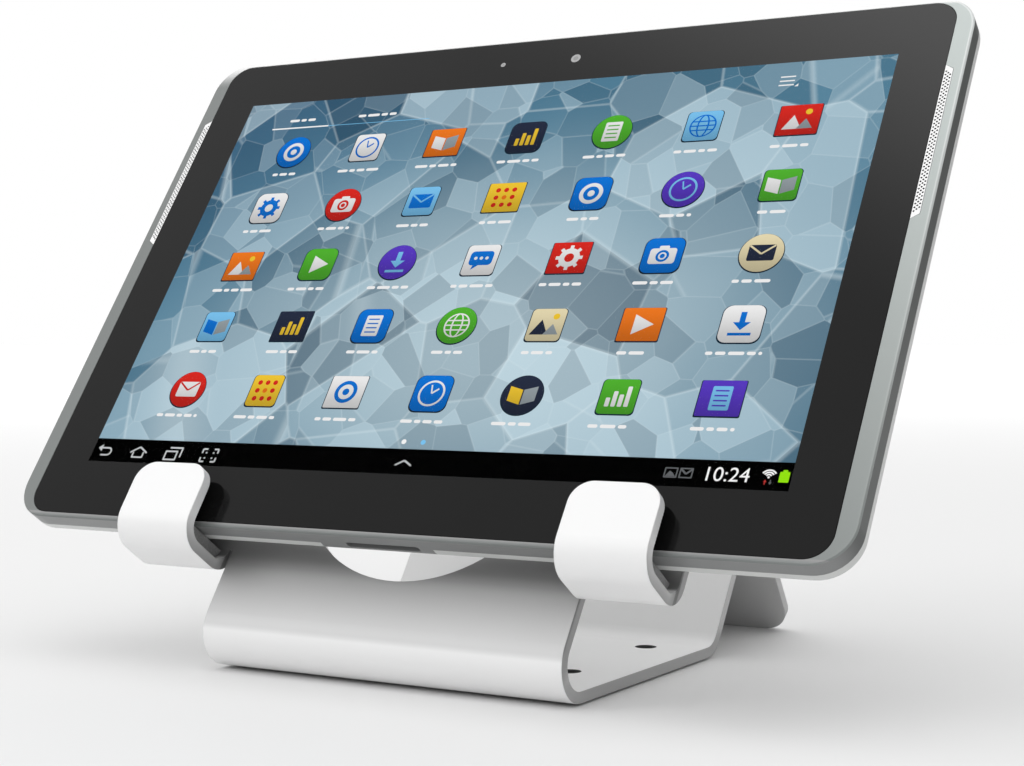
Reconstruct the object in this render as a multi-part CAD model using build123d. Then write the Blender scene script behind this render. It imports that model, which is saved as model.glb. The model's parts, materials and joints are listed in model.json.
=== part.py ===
from build123d import *
from math import cos, radians, sin, tan
import os

# Sizes are in millimetres and angles in degrees.
# The origin is the centre of the four screw holes, on the surface that the stand rests on.
# +X is to the user's right, +Y is away from the user and +Z is up.

# Sheet and its folds
sheet = 3.0                     # thickness of the folded sheet
lean = 34.8                     # back plate and rear wall, back from the vertical
leg_lean = 35.0                 # rear leg, forward from the vertical
strip_width = 111.5             # front wall, base, rear wall and leg
wall_spacing = 82.3             # outer face to outer face of the front and rear walls
front_reach = 64.8              # screw pattern to the front wall's line on the base's underside
leg_reach = 92.3                # screw pattern to the foot of the leg
base_bend = 7.0                 # inner radius of the two bends at the base
leg_bend = 6.0                  # inner radius of the bend over the leg
foot_corner = 8.6               # corner radius of the leg's foot

# Back plate
plate_rise = 122.9              # underside of the hooks to the top edge
plate_corner = 12.1             # corner radius at the top
cutout_diameter = 81.7          # round opening for a hand and cables
cutout_rise = 43.1              # underside of the hooks to the opening's centre

# Hooks
hook_width = 24.7
relief_width = 0.9              # slit between a hook and the strip
hook_start = 30.3               # base line of the front wall up to the underside of the hooks
channel = 17.6                  # inside width of the U
lip_height = 23.3               # underside of the hook to the top of its lip
lip_corner = 6.0                # corner radius of the lip
hook_bend = 5.0                 # inner radius of the hook's bends

# Screw holes in the base
hole_diameter = 6.0
hole_spacing_x = 80.0
hole_spacing_y = 45.0

# Pads
base_pad_thickness = 0.6
base_pad_inset = 1.5            # from the ends of the base's flat
hook_pad_height = 4.2
hook_pad_inset = 2.5            # from each side of the hook
back_pad_size = 14.0
back_pad_thickness = 4.0
back_pad_inset = 16.5           # from the side edge of the plate to a pad's middle
back_pad_low = 21.5             # underside of the hooks to the lower pads
back_pad_high = 108.5           # underside of the hooks to the upper pads
soft_gap = 0.3                  # between a pad and what it carries

# Tablet
tablet_width = 256.6
tablet_height = 174.0
tablet_depth = 9.7
tablet_corner = 11.0            # corner radius of its outline
tablet_shift = 0.0              # the tablet stands this far to the right of the stand's middle
cover_depth = 4.7               # back face to the joint line with the side frame
cover_wall = 1.2
cover_straight = 1.4            # straight part of the cover's side, below the joint line
frame_wall_x = 1.6              # side frame's wall at the left and right
frame_wall_y = 1.2              # side frame's wall at the top and bottom
rim_width_x = 5.2               # light rim beside the glass
rim_width_y = 1.5               # light rim above and below the glass
rim_chamfer = 0.35
ledge_width = 1.2               # ledge under the glass
ledge_depth = 1.0
fit_gap = 0.1                   # between pieces that seat in each other
slide_gap = 0.15                # round the moving keys

# Glass and display
glass_thickness = 1.1
glass_corner = 7.0
glass_chamfer = 0.15
panel_inset_x = 11.1            # edge of the glass to the display module
panel_inset_y = 14.5

# Mid frame
mid_frame_thickness = 0.6
mid_frame_gap = 0.2             # to the side frame and to what its notches clear
mid_window_width_share = 0.75   # openings behind the battery cells, of a cell's size
mid_window_height_share = 0.6
mid_window_corner = 6.0

# Dock connector in the lower edge
dock_x = 0.0
dock_z = 4.5                    # slot's centre above the tablet's back face
dock_slot_width = 22.7
dock_slot_height = 2.4
dock_slot_corner = 0.8
dock_slot_depth = 6.0
dock_wall = 0.7
dock_length = 8.0
dock_tongue_inset = 1.35        # slot's end to the tongue
dock_tongue_thickness = 0.7
dock_tongue_length = 5.0
surround_x = -2.2
surround_width = 35.3           # the side frame reaches down into the cover over this width
surround_bottom = 2.2           # and down to this height above the tablet's back face
surround_wall = 1.9
dock_board_width = 44.0
dock_board_height = 12.0
dock_board_thickness = 0.8
flex_width = 8.0
flex_thickness = 0.2
flex_overlap = 4.0              # flex laid on each board

# Speakers and their grilles
grille_drop = 24.3              # top edge of the tablet to the top of the grille
grille_width = 2.2
grille_length = 51.0            # on the side of the glass
grille_slant = 1.5              # each end is this much shorter on the outer side
grille_thickness = 0.5
grille_hole = 0.68              # across the corners of a hole
grille_pitch = 1.19             # from row to row
grille_columns = 3
grille_column_pitch = 0.62
grille_margin = 0.6             # plain end of a column
sound_slot_width = 1.2
sound_slot_margin = 3.0         # grille's end to the end of the slot under it
speaker_width = 12.0
speaker_past = 2.5              # speaker's end past the grille's end
speaker_side_gap = 2.2          # to the inside of the side frame's wall
duct_width = 5.0                # notch in the mid frame over the speaker

# Cameras and light sensor
front_camera_x = 8.6
front_camera_drop = 10.2        # top edge of the tablet to the camera's middle
front_camera_size = 6.4
front_barrel_diameter = 4.8
front_barrel_height = 0.6
sensor_x = -16.4
sensor_drop = 10.3
sensor_width = 3.4
sensor_height = 2.4
rear_camera_drop = 15.0
rear_camera_size = 9.0
rear_ring_diameter = 11.0
rear_ring_wall = 1.1
rear_window_thickness = 0.8
rear_window_recess = 0.25

# Keys in the top edge
power_inset = 30.3              # left edge of the tablet to the middle of the key
power_length = 10.0
rocker_inset = 56.3
rocker_length = 20.0
key_height = 2.0
key_corner = 0.65
key_proud = 0.6
key_flange = 0.9                # thickness of the flange that holds a key in
key_flange_reach = 1.0          # flange past each end of the cap
key_wall_gap = 0.4              # flange to the inside of the top wall
key_board_thickness = 0.8
key_board_height = 2.3
key_board_margin = 3.0          # board past the outer ends of the keys
switch_width = 2.4
switch_height = 0.6
switch_gap = 0.6                # key's flange to its switch
rocker_switch_share = 0.8       # place of the rocker's two switches, of half its length

# Headset jack in the top edge
jack_inset = 30.3               # right edge of the tablet to the middle of the jack
jack_bore = 3.6
jack_bore_depth = 14.0
jack_nose_diameter = 4.8
jack_housing_width = 7.0
jack_housing_height = 4.8
jack_housing_length = 14.2
jack_boss_width = 6.0
jack_boss_length = 9.0

# Battery cells
cell_gap = 14.0                 # between the two cells
cell_speaker_gap = 13.5
cell_dock_gap = 3.1             # dock's board to the cells
cell_board_gap = 8.0            # cells to the main board

# Main board and its shields
board_height = 51.0
board_thickness = 0.9
board_key_gap = 3.5             # to the key board
board_speaker_gap = 1.0
board_camera_gap = 7.5          # to the rear camera
board_step_shares = (0.52, 0.43)        # corner of its step, of the board's width and height
shield_size_shares = (0.30, 0.39)
shield_depth = 1.6
shield_place_shares = ((0.23, 0.28), (0.23, 0.75), (0.69, 0.75))

# Antennas
antenna_gap = 5.0               # to the jack's boss and to each other
antenna_drop = 10.0
antenna_length = 28.0
antenna_height = 7.0
antenna_thickness = 0.4

# Overrun of a cutting shape past the faces that it cuts
cut_past = 2.0

# Stand, worked out from the sizes above
sin_lean = sin(radians(lean))
cos_lean = cos(radians(lean))
tan_lean = tan(radians(lean))
tan_leg = tan(radians(leg_lean))
plate_width = strip_width + 2 * (relief_width + hook_width)
hook_left_ends = (-plate_width / 2, plate_width / 2 - hook_width)
front_corner = (-front_reach, base_pad_thickness)
rear_corner = (-front_reach + wall_spacing / cos_lean, base_pad_thickness)
leg_rise = (leg_reach - rear_corner[0] + base_pad_thickness * tan_lean) / (tan_lean + tan_leg)
leg_corner = (leg_reach - leg_rise * tan_leg, leg_rise)
foot_point = (leg_reach, 0)
hook_floor = hook_start + sheet
relief_top = hook_floor + hook_bend
lip_top = hook_start + lip_height
plate_top = hook_start + plate_rise

# Tablet, worked out from the sizes above, with heights from its back face
cover_round = cover_depth - cover_straight
room_depth = cover_depth - cover_wall - fit_gap
frame_depth = tablet_depth - cover_depth
cavity_width = tablet_width - 2 * frame_wall_x
cavity_height = tablet_height - 2 * frame_wall_y
cavity_corner = tablet_corner - frame_wall_x
inside_top = cavity_height / 2
glass_width = tablet_width - 2 * rim_width_x
glass_height = tablet_height - 2 * rim_width_y
glass_bottom = tablet_depth - glass_thickness
ledge_bottom = glass_bottom - ledge_depth
mid_frame_bottom = cover_depth + flex_thickness
panel_bottom = mid_frame_bottom + mid_frame_thickness
board_bottom = cover_depth - board_thickness
grille_x = glass_width / 2 + fit_gap + grille_width / 2
grille_y = tablet_height / 2 - grille_drop - grille_length / 2
speaker_inner_x = cavity_width / 2 - speaker_side_gap - speaker_width
dock_low = -tablet_height / 2 + surround_wall
dock_board_low = dock_low + dock_length
key_z = (cover_depth + ledge_bottom) / 2
power_x = power_inset - tablet_width / 2
rocker_x = rocker_inset - tablet_width / 2
flange_top = inside_top - key_wall_gap
key_board_low = flange_top - key_flange - switch_gap - switch_height - key_board_thickness
key_board_left = power_x - power_length / 2 - key_board_margin
key_board_right = rocker_x + rocker_length / 2 + key_board_margin
jack_x = tablet_width / 2 - jack_inset
jack_z = ledge_bottom - fit_gap - jack_housing_height / 2
rear_camera_y = tablet_height / 2 - rear_camera_drop
board_left = board_speaker_gap - speaker_inner_x
board_right = -board_camera_gap - rear_camera_size / 2
board_width = board_right - board_left
board_high = key_board_low - board_key_gap
board_low = board_high - board_height
cell_low = dock_board_low + dock_board_height + cell_dock_gap
cell_height = board_low - cell_board_gap - cell_low
cell_width = speaker_inner_x - cell_speaker_gap - cell_gap / 2
cell_y = cell_low + cell_height / 2

# Frame of the back plate: x to the right, y up the plate, z out of it towards the user
plate_frame = Plane(
    origin=(0, front_corner[0], front_corner[1]), x_dir=(1, 0, 0), z_dir=(0, -cos_lean, sin_lean)
)

# Frame of the tablet: its origin is the middle of its back face
tablet_rise = hook_floor + hook_pad_height + soft_gap + tablet_height / 2
tablet_frame = Plane(
    origin=plate_frame.from_local_coords((tablet_shift, tablet_rise, back_pad_thickness + soft_gap)),
    x_dir=plate_frame.x_dir,
    z_dir=plate_frame.z_dir,
)


def slab(width, height, depth, corner=0, at=(0, 0, 0)):
    """A flat block on the XY plane with rounded upright corners, its middle and underside at a point."""
    outline = RectangleRounded(width, height, corner) if corner else Rectangle(width, height)
    return Pos(*at) * extrude(outline, depth)


def disc(diameter, depth, at=(0, 0, 0)):
    """A round block that stands on a point."""
    return Pos(*at) * extrude(Circle(diameter / 2), depth)


def rod_along_y(diameter, length, at):
    """A round bar that runs up the tablet from a point."""
    return Pos(*at) * Rot(-90, 0, 0) * extrude(Circle(diameter / 2), length)


def moved_left(points, distance):
    """An open run of points moved to its left, with mitred corners."""
    vectors = [Vector(*p) for p in points]
    runs = [(b - a).normalized() for a, b in zip(vectors, vectors[1:])]
    sides = [Vector(-r.Y, r.X) for r in runs]
    moved = [vectors[0] + sides[0] * distance]
    for corner, before, after in zip(vectors[1:], sides, sides[1:]):
        mitre = (before + after) * (1 / (1 + before.dot(after)))
        moved.append(corner + mitre * distance)
    moved.append(vectors[-1] + sides[-1] * distance)
    return [(v.X, v.Y) for v in moved]


def turns_left(points):
    """For each inner corner, whether the run turns to the left there."""
    found = []
    for a, b, c in zip(points, points[1:], points[2:]):
        found.append((b[0] - a[0]) * (c[1] - b[1]) - (b[1] - a[1]) * (c[0] - b[0]) > 0)
    return found


def sheet_section(points, inner_radii):
    """The cut face of a folded sheet whose right-hand face runs through the points."""
    lefts = turns_left(points)
    right_radii = [r + sheet if left else r for r, left in zip(inner_radii, lefts)]
    left_radii = [r if left else r + sheet for r, left in zip(inner_radii, lefts)]
    inner_points = moved_left(points, sheet)
    right_face = FilletPolyline(*points, radius=right_radii)
    left_face = FilletPolyline(*inner_points, radius=left_radii)
    ends = [Line(points[0], inner_points[0]), Line(points[-1], inner_points[-1])]
    return make_face([*right_face.edges(), *left_face.edges(), *[e.edge() for e in ends]])


# Stand


def folded_strip():
    """The strip: front wall, base, rear wall and leg, with the round corners of its foot."""
    start = plate_frame.from_local_coords((0, relief_top + hook_bend, 0))
    points = [(start.Y, start.Z), front_corner, rear_corner, leg_corner, foot_point]
    section = sheet_section(points, [base_bend, base_bend, leg_bend])
    upright = Plane(origin=(-strip_width / 2, 0, 0), x_dir=(0, 1, 0), z_dir=(1, 0, 0))
    strip = extrude(upright * section, strip_width, dir=(1, 0, 0))
    foot_face = strip.faces().sort_by(Axis.Y)[-1]
    corners = foot_face.edges().filter_by(Axis.X, reverse=True)
    return fillet(corners, foot_corner)


def hook(left_end):
    """One U-shaped hook in the plate's frame, from its left end."""
    points = [
        (-sheet, relief_top + hook_bend),
        (-sheet, hook_start),
        (channel + sheet, hook_start),
        (channel + sheet, lip_top),
    ]
    side = Plane(origin=(left_end + hook_width, 0, 0), x_dir=(0, 0, 1), z_dir=(-1, 0, 0))
    bent = extrude(side * sheet_section(points, [hook_bend, hook_bend]), hook_width, dir=(-1, 0, 0))
    tips = bent.edges().filter_by(Axis.Z).group_by(Axis.Y)[-1]
    return fillet(tips, lip_corner)


def back_plate():
    """The wide plate above the hooks, in its own frame."""
    height = plate_top - relief_top
    plate = slab(plate_width, height, sheet, at=(0, relief_top + height / 2, -sheet))
    corners = plate.edges().filter_by(Axis.Z).group_by(Axis.Y)[-1]
    return fillet(corners, plate_corner)


def folded_frame():
    """The whole stand, folded from one sheet."""
    plate = back_plate()
    for left_end in hook_left_ends:
        plate += hook(left_end)
    frame = plate_frame.location * plate + folded_strip()
    cutout = disc(cutout_diameter, sheet + 2 * cut_past, (0, hook_start + cutout_rise, -sheet - cut_past))
    frame -= plate_frame.location * cutout
    return frame - screw_holes(base_pad_thickness, sheet)


def screw_holes(bottom, depth):
    """Upright pins that cut the four screw holes through a plate of the base."""
    places = GridLocations(hole_spacing_x, hole_spacing_y, 2, 2)
    pin = disc(hole_diameter, depth + 2 * cut_past, (0, 0, bottom - cut_past))
    return [place * pin for place in places]


def base_pad():
    """Thin pad under the flat of the base, holed like the base."""
    front_end = front_corner[0] + (base_bend + sheet) * tan(radians(90 + lean) / 2)
    rear_end = rear_corner[0] - (base_bend + sheet) * tan(radians(90 - lean) / 2)
    length = rear_end - front_end - 2 * base_pad_inset
    width = strip_width - 2 * base_pad_inset
    pad = slab(width, length, base_pad_thickness, at=(0, (front_end + rear_end) / 2, 0))
    return pad - screw_holes(0, base_pad_thickness)


def hook_pad(left_end):
    """Rubber pad that fills the floor of a hook, with its lower corners as round as the bends."""
    side = Plane(
        origin=(left_end + hook_width - hook_pad_inset, hook_floor, channel / 2),
        x_dir=(0, 0, 1),
        z_dir=(-1, 0, 0),
    )
    length = hook_width - 2 * hook_pad_inset
    tall = hook_pad_height + hook_bend
    outline = Pos(0, tall / 2) * Rectangle(channel - 2 * soft_gap, tall)
    bar = extrude(side * outline, length, dir=(-1, 0, 0))
    bar = fillet(bar.edges().filter_by(Axis.X).group_by(Axis.Y)[0], hook_bend)
    above = Pos(0, hook_pad_height + tall / 2) * Rectangle(channel, tall)
    pad = bar - extrude(side * above, length, dir=(-1, 0, 0))
    return plate_frame.location * pad


def back_pads():
    """Four squares of rubber between the back plate and the tablet."""
    x = plate_width / 2 - back_pad_inset
    places = [(side * x, hook_start + rise, 0) for side in (-1, 1) for rise in (back_pad_low, back_pad_high)]
    squares = [slab(back_pad_size, back_pad_size, back_pad_thickness, at=at) for at in places]
    return plate_frame.location * Compound(children=squares)


# Tablet shell


def cover_blank():
    """The back cover's outside as a solid block."""
    block = slab(tablet_width, tablet_height, cover_depth, tablet_corner)
    return fillet(block.faces().sort_by(Axis.Z)[0].edges(), cover_round)


def dock_surround_block(gap):
    """The side frame's reach down into the cover round the dock, grown by a gap."""
    bottom = surround_bottom - gap
    depth = cover_depth + gap - bottom
    half = surround_wall + gap
    at = (surround_x, -tablet_height / 2, bottom)
    return slab(surround_width + 2 * gap, 2 * half, depth, at=at)


def dock_connector_block(gap):
    """The dock connector's outside, grown by a gap."""
    width = dock_slot_width + 2 * (dock_wall + gap)
    height = dock_slot_height + 2 * (dock_wall + gap)
    at = (dock_x, dock_low + dock_length / 2, dock_z - height / 2)
    return slab(width, dock_length + 2 * gap, height, at=at)


def jack_housing_block(gap):
    """The jack housing's outside, grown by a gap."""
    height = jack_housing_height + 2 * gap
    at = (jack_x, inside_top - fit_gap - jack_housing_length / 2, jack_z - height / 2)
    return slab(jack_housing_width + 2 * gap, jack_housing_length + 2 * gap, height, at=at)


def dock_slot(depth):
    """The slot for a plug, cut in from the lower edge to a depth."""
    length = depth + cut_past
    bar = slab(dock_slot_width, length, dock_slot_height, at=(0, 0, -dock_slot_height / 2))
    bar = fillet(bar.edges().filter_by(Axis.Y), dock_slot_corner)
    return Pos(dock_x, depth - (tablet_height + length) / 2, dock_z) * bar


def jack_passage():
    """The round way through the top edge for the jack's nose."""
    start = inside_top - cut_past
    length = tablet_height / 2 + cut_past - start
    return rod_along_y(jack_nose_diameter + 2 * fit_gap, length, (jack_x, start, jack_z))


def back_cover():
    """Shallow shell with a rounded edge, a camera hole, a boss under the jack and room for the dock."""
    inside = slab(
        tablet_width - 2 * cover_wall,
        tablet_height - 2 * cover_wall,
        cover_depth,
        tablet_corner - cover_wall,
        (0, 0, cover_wall),
    )
    inside = chamfer(inside.faces().sort_by(Axis.Z)[0].edges(), cover_round - cover_wall)
    shell = cover_blank() - inside
    boss_height = jack_z - jack_housing_height / 2 - cover_wall
    boss_y = tablet_height / 2 - cover_round - jack_boss_length / 2
    shell += slab(jack_boss_width, jack_boss_length, boss_height, at=(jack_x, boss_y, cover_wall))
    shell -= disc(rear_ring_diameter + 2 * fit_gap, cover_wall + 2 * cut_past, (0, rear_camera_y, -cut_past))
    shell -= dock_surround_block(fit_gap)
    shell -= dock_connector_block(fit_gap)
    shell -= jack_housing_block(fit_gap)
    return shell - jack_passage()


def side_frame():
    """Ring with the light front rim, the ledge for the glass and the openings in its edges."""
    ring = slab(tablet_width, tablet_height, frame_depth, tablet_corner, (0, 0, cover_depth))
    ring = chamfer(ring.faces().sort_by(Axis.Z)[-1].edges(), rim_chamfer)
    under = ledge_bottom - cover_depth + cut_past
    ring -= slab(cavity_width, cavity_height, under, cavity_corner, (0, 0, cover_depth - cut_past))
    window_width = glass_width - 2 * ledge_width
    window_height = glass_height - 2 * ledge_width
    ring -= slab(window_width, window_height, frame_depth, glass_corner - ledge_width, (0, 0, ledge_bottom))
    ring -= slab(
        glass_width + 2 * fit_gap,
        glass_height + 2 * fit_gap,
        glass_thickness + cut_past,
        glass_corner + fit_gap,
        (0, 0, glass_bottom),
    )
    ring += cover_blank() & dock_surround_block(0)
    ring -= dock_slot(surround_wall + cut_past)
    ring -= jack_passage()
    for side in (-1, 1):
        ring -= grille_pocket(side)
    ring -= key_slot(power_x, power_length)
    return ring - key_slot(rocker_x, rocker_length)


def on_side(side, shape):
    """A shape made for the right side, or its mirror image for the left."""
    return shape if side > 0 else mirror(shape, about=Plane.YZ)


def grille_outline(gap):
    """Face of the strip beside the glass with its slanted ends, grown by a gap."""
    near = grille_length / 2 + gap
    far = near - grille_slant
    half = grille_width / 2 + gap
    corners = [(-half, -near), (half, -far), (half, far), (-half, near)]
    return make_face(Polyline(*corners, close=True).edges())


def grille_pocket(side):
    """Pocket for a grille strip, open towards the glass, with the sound slot under it."""
    bottom = tablet_depth - grille_thickness
    pocket = Pos(grille_x, grille_y, bottom) * extrude(grille_outline(fit_gap), grille_thickness + cut_past)
    slot_length = grille_length - 2 * sound_slot_margin
    pocket += slab(sound_slot_width, slot_length, tablet_depth, at=(grille_x, grille_y, cover_depth))
    return on_side(side, pocket)


def key_slot(x, length):
    """The way through the top edge for a key's cap."""
    height = key_height + 2 * slide_gap
    depth = frame_wall_y + cut_past
    at = (x, tablet_height / 2, key_z - height / 2)
    opening = slab(length + 2 * slide_gap, 2 * depth, height, at=at)
    return fillet(opening.edges().filter_by(Axis.Y), key_corner + slide_gap)


def cover_glass():
    """The flat glass over the display."""
    glass = slab(glass_width, glass_height, glass_thickness, glass_corner, (0, 0, glass_bottom))
    return chamfer(glass.faces().sort_by(Axis.Z)[-1].edges(), glass_chamfer)


# Inside of the tablet


def display_panel():
    """The display module behind the glass."""
    width = glass_width - 2 * panel_inset_x
    height = glass_height - 2 * panel_inset_y
    return slab(width, height, glass_bottom - panel_bottom, at=(0, 0, panel_bottom))


def mid_frame():
    """Plate that carries the display, with openings and with notches for the pieces at the edges."""
    width = cavity_width - 2 * mid_frame_gap
    height = cavity_height - 2 * mid_frame_gap
    plate = slab(width, height, mid_frame_thickness, cavity_corner - mid_frame_gap, (0, 0, mid_frame_bottom))
    window_width = cell_width * mid_window_width_share
    window_height = cell_height * mid_window_height_share
    depth = mid_frame_thickness + 2 * cut_past
    low = mid_frame_bottom - cut_past
    for side in (-1, 1):
        window_x = side * (cell_gap + cell_width) / 2
        plate -= slab(window_width, window_height, depth, mid_window_corner, (window_x, cell_y, low))
        plate -= slab(2 * duct_width, grille_length, depth, at=(side * width / 2, grille_y, low))
    jack_width = jack_housing_width + 2 * mid_frame_gap
    jack_notch = fit_gap + jack_housing_length + mid_frame_gap
    plate -= slab(jack_width, 2 * jack_notch, depth, at=(jack_x, inside_top, low))
    dock_width = dock_slot_width + 2 * (dock_wall + mid_frame_gap)
    plate -= slab(dock_width, 2 * (dock_length + mid_frame_gap), depth, at=(dock_x, dock_low, low))
    key_width = key_board_right - key_board_left + 2 * mid_frame_gap
    key_x = (key_board_left + key_board_right) / 2
    key_notch = inside_top - key_board_low + mid_frame_gap
    plate -= slab(key_width, 2 * key_notch, depth, at=(key_x, inside_top, low))
    return plate


def battery_cell(side):
    """One flat cell."""
    x = side * (cell_gap + cell_width) / 2
    return slab(cell_width, cell_height, room_depth, at=(x, cell_y, cover_wall + fit_gap))


def on_board(shares):
    """A place on the main board from its shares of the board's width and height."""
    return board_left + shares[0] * board_width, board_low + shares[1] * board_height


def main_board():
    """Stepped circuit board."""
    step_x, step_y = on_board(board_step_shares)
    outline = Polyline(
        (board_left, board_low),
        (step_x, board_low),
        (step_x, step_y),
        (board_right, step_y),
        (board_right, board_high),
        (board_left, board_high),
        close=True,
    )
    return Pos(0, 0, board_bottom) * extrude(make_face(outline.edges()), board_thickness)


def shield_cans():
    """Three pressed cans on the back of the main board."""
    width = board_width * shield_size_shares[0]
    height = board_height * shield_size_shares[1]
    cans = []
    for shares in shield_place_shares:
        x, y = on_board(shares)
        cans.append(slab(width, height, shield_depth, at=(x, y, board_bottom - shield_depth)))
    return Compound(children=cans)


def dock_connector():
    """Socket shell open at the lower edge, with the tongue inside it."""
    shell = dock_connector_block(0)
    shell = fillet(shell.edges().filter_by(Axis.Y), dock_wall)
    shell -= dock_slot(surround_wall + dock_slot_depth)
    tongue_y = dock_low + dock_slot_depth - dock_tongue_length / 2
    tongue_width = dock_slot_width - 2 * dock_tongue_inset
    at = (dock_x, tongue_y, dock_z - dock_tongue_thickness / 2)
    return shell + slab(tongue_width, dock_tongue_length, dock_tongue_thickness, at=at)


def dock_board():
    """Small board behind the dock connector."""
    at = (dock_x, dock_board_low + dock_board_height / 2, cover_depth - dock_board_thickness)
    return slab(dock_board_width, dock_board_height, dock_board_thickness, at=at)


def dock_flex():
    """Flat cable between the cells, from the dock's board up to the step of the main board."""
    low = dock_board_low + dock_board_height - flex_overlap
    high = on_board(board_step_shares)[1] + flex_width
    run = slab(flex_width, high - low, flex_thickness, at=(dock_x, (low + high) / 2, cover_depth))
    left = board_right - flex_overlap
    right = dock_x + flex_width / 2
    arm_at = ((left + right) / 2, high - flex_width / 2, cover_depth)
    return run + slab(right - left, flex_width, flex_thickness, at=arm_at)


def speaker(side):
    """Flat speaker box under a grille."""
    x = side * (speaker_inner_x + speaker_width / 2)
    length = grille_length + 2 * speaker_past
    return slab(speaker_width, length, room_depth, at=(x, grille_y, cover_wall + fit_gap))


def grille_column(column):
    """The holes of one column, staggered against the next, as far as the slanted ends allow."""
    x = (column - (grille_columns - 1) / 2) * grille_column_pitch
    shortening = grille_slant * (x / grille_width + 1 / 2)
    length = grille_length - 2 * (shortening + grille_margin)
    count = int(length / grille_pitch)
    count -= (count + column) % 2
    hole = extrude(RegularPolygon(grille_hole / 2, 4), grille_thickness + 2 * cut_past)
    places = GridLocations(grille_pitch, grille_pitch, 1, count)
    return [Pos(x, 0, -cut_past) * place * hole for place in places]


def speaker_grille(side):
    """Strip beside the glass with three staggered columns of holes."""
    strip = extrude(grille_outline(0), grille_thickness)
    strip -= [hole for column in range(grille_columns) for hole in grille_column(column)]
    return on_side(side, Pos(grille_x, grille_y, tablet_depth - grille_thickness) * strip)


def front_camera():
    """Camera behind the glass above the display."""
    y = tablet_height / 2 - front_camera_drop
    bottom = panel_bottom + fit_gap
    height = glass_bottom - fit_gap - front_barrel_height - bottom
    body = slab(front_camera_size, front_camera_size, height, at=(front_camera_x, y, bottom))
    return body + disc(front_barrel_diameter, front_barrel_height, (front_camera_x, y, bottom + height))


def light_sensor():
    """Light sensor behind the glass beside the front camera."""
    depth = glass_bottom - panel_bottom - 2 * fit_gap
    at = (sensor_x, tablet_height / 2 - sensor_drop, panel_bottom + fit_gap)
    return slab(sensor_width, sensor_height, depth, at=at)


def rear_camera():
    """Camera behind the window in the back cover."""
    return slab(rear_camera_size, rear_camera_size, room_depth, at=(0, rear_camera_y, cover_wall + fit_gap))


def rear_camera_ring():
    """Metal ring in the back cover's hole."""
    ring = disc(rear_ring_diameter, cover_wall, (0, rear_camera_y, 0))
    inside = rear_ring_diameter - 2 * rear_ring_wall
    return ring - disc(inside, cover_wall + 2 * cut_past, (0, rear_camera_y, -cut_past))


def rear_camera_window():
    """Clear disc inside the ring."""
    diameter = rear_ring_diameter - 2 * (rear_ring_wall + fit_gap)
    return disc(diameter, rear_window_thickness, (0, rear_camera_y, rear_window_recess))


# Keys


def key(x, length):
    """A key: its cap through the edge and the flange that holds it in."""
    bottom = key_z - key_height / 2
    flange_length = length + 2 * key_flange_reach
    flange = slab(flange_length, key_flange, key_height, at=(x, flange_top - key_flange / 2, bottom))
    cap_length = tablet_height / 2 + key_proud - flange_top
    cap = slab(length, cap_length, key_height, at=(x, flange_top + cap_length / 2, bottom))
    return flange + fillet(cap.edges().filter_by(Axis.Y), key_corner)


def key_board():
    """Narrow upright board with a switch under each place where a key is pressed."""
    middle = (key_board_left + key_board_right) / 2
    at = (middle, key_board_low + key_board_thickness / 2, key_z - key_board_height / 2)
    board = slab(key_board_right - key_board_left, key_board_thickness, key_board_height, at=at)
    offset = rocker_switch_share * rocker_length / 2
    y = key_board_low + key_board_thickness + switch_height / 2
    for x in (power_x, rocker_x - offset, rocker_x + offset):
        board += slab(switch_width, switch_height, key_board_height, at=(x, y, at[2]))
    return board


def headset_jack():
    """Socket with a round nose that ends flush in the top edge."""
    mouth = tablet_height / 2 - fit_gap
    shoulder = inside_top - fit_gap
    housing = jack_housing_block(0)
    housing += rod_along_y(jack_nose_diameter, mouth - shoulder, (jack_x, shoulder, jack_z))
    bore = rod_along_y(jack_bore, jack_bore_depth + cut_past, (jack_x, mouth - jack_bore_depth, jack_z))
    return housing - bore


def antennas():
    """Two thin antenna plates on the cover's floor."""
    y = tablet_height / 2 - antenna_drop
    first = jack_x - jack_boss_width / 2 - antenna_gap - antenna_length / 2
    plates = []
    for x in (first, first - antenna_gap - antenna_length):
        plates.append(slab(antenna_length, antenna_height, antenna_thickness, at=(x, y, cover_wall)))
    return Compound(children=plates)


def stand_nodes():
    """Nodes of the stand, already in place."""
    left_hook, right_hook = hook_left_ends
    return {
        "folded_frame": folded_frame(),
        "base_pad": base_pad(),
        "hook_pad_left": hook_pad(left_hook),
        "hook_pad_right": hook_pad(right_hook),
        "back_pads": back_pads(),
    }


def tablet_nodes():
    """Nodes of the tablet in its own frame."""
    return {
        "back_cover": back_cover(),
        "side_frame": side_frame(),
        "cover_glass": cover_glass(),
        "display_panel": display_panel(),
        "mid_frame": mid_frame(),
        "battery_left": battery_cell(-1),
        "battery_right": battery_cell(1),
        "main_board": main_board(),
        "shield_cans": shield_cans(),
        "dock_connector": dock_connector(),
        "dock_board": dock_board(),
        "dock_flex": dock_flex(),
        "speaker_left": speaker(-1),
        "speaker_right": speaker(1),
        "speaker_grille_left": speaker_grille(-1),
        "speaker_grille_right": speaker_grille(1),
        "front_camera": front_camera(),
        "light_sensor": light_sensor(),
        "rear_camera": rear_camera(),
        "rear_camera_ring": rear_camera_ring(),
        "rear_camera_window": rear_camera_window(),
        "power_button": key(power_x, power_length),
        "volume_rocker": key(rocker_x, rocker_length),
        "key_board": key_board(),
        "headset_jack": headset_jack(),
        "antennas": antennas(),
    }


def main():
    """Build every node and write one file for each."""
    os.makedirs("parts", exist_ok=True)
    nodes = stand_nodes()
    for name, shape in tablet_nodes().items():
        nodes[name] = tablet_frame.location * shape
    for name, shape in nodes.items():
        export_step(shape, f"parts/{name}.step")


main()
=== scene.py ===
import json
import math

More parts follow.
